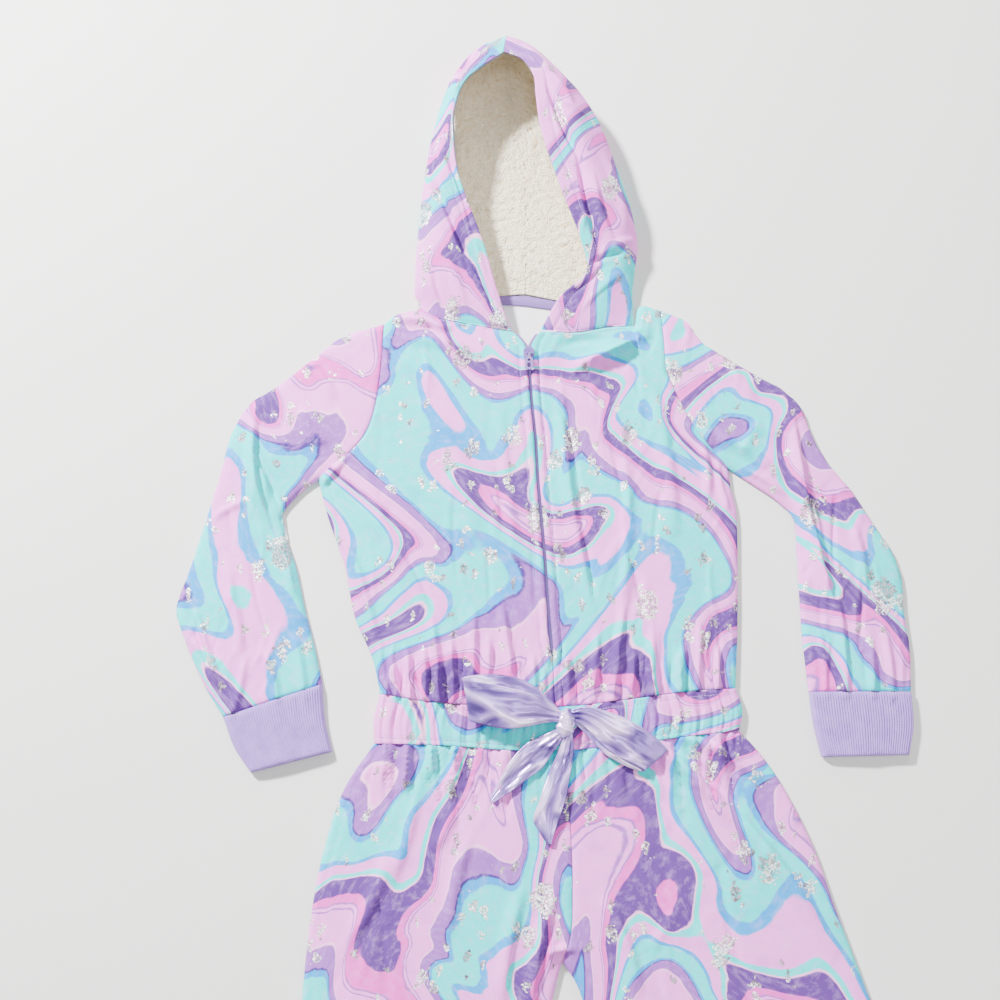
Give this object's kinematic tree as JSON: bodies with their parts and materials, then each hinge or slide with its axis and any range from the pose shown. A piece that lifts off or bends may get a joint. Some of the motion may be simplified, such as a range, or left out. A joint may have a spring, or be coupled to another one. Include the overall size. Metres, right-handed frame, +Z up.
{
  "type": "hooded onesie pajama",
  "caption": "Child's hooded one-piece pajama laid flat on its back, with front zip, elastic waist, ribbed cuffs, fleece-lined hood and a ribbon bow.",
  "frame": {"origin": "middle of the garment's footprint, on the surface it lies on", "axes": "+Y from the hems toward the hood, +X toward the wearer's left side, +Z up out of the garment's front"},
  "size_m": [0.7293, 1.608, 0.0581],
  "materials": {
    "print_knit": "matte knit",
    "lavender_rib": "matte rib knit",
    "zip_tape": "matte woven tape",
    "fleece": "matte fleece",
    "satin": "satin",
    "zip_metal": "gloss"
  },
  "bodies": {
    "garment": {"front_bodice_left": "print_knit", "front_bodice_right": "print_knit", "back_bodice": "print_knit", "sleeve_left": "print_knit", "sleeve_right": "print_knit", "cuff_left": "lavender_rib", "cuff_right": "lavender_rib", "hood_left": "print_knit", "hood_right": "print_knit", "hood_lining_left": "fleece", "hood_lining_right": "fleece", "waistband_front": "print_knit", "waistband_back": "print_knit", "leg_front_left": "print_knit", "leg_front_right": "print_knit", "leg_back_left": "print_knit", "leg_back_right": "print_knit", "zip_tape_left": "zip_tape", "zip_tape_right": "zip_tape", "zip_slider": "zip_metal", "bow_knot": "satin", "bow_loop_left": "satin", "bow_loop_right": "satin", "bow_tail_left": "satin", "bow_tail_right": "satin"},
    "pull_tab": {"zip_pull": "zip_metal"}
  },
  "joints": [
    {"name": "pull_tab_hinge", "type": "hinge", "parent": "garment", "child": "pull_tab", "pos_m": [-0.02275, 0.441, 0.017], "axis": [-1, 0, 0], "range_deg": [0, 150]}
  ]
}
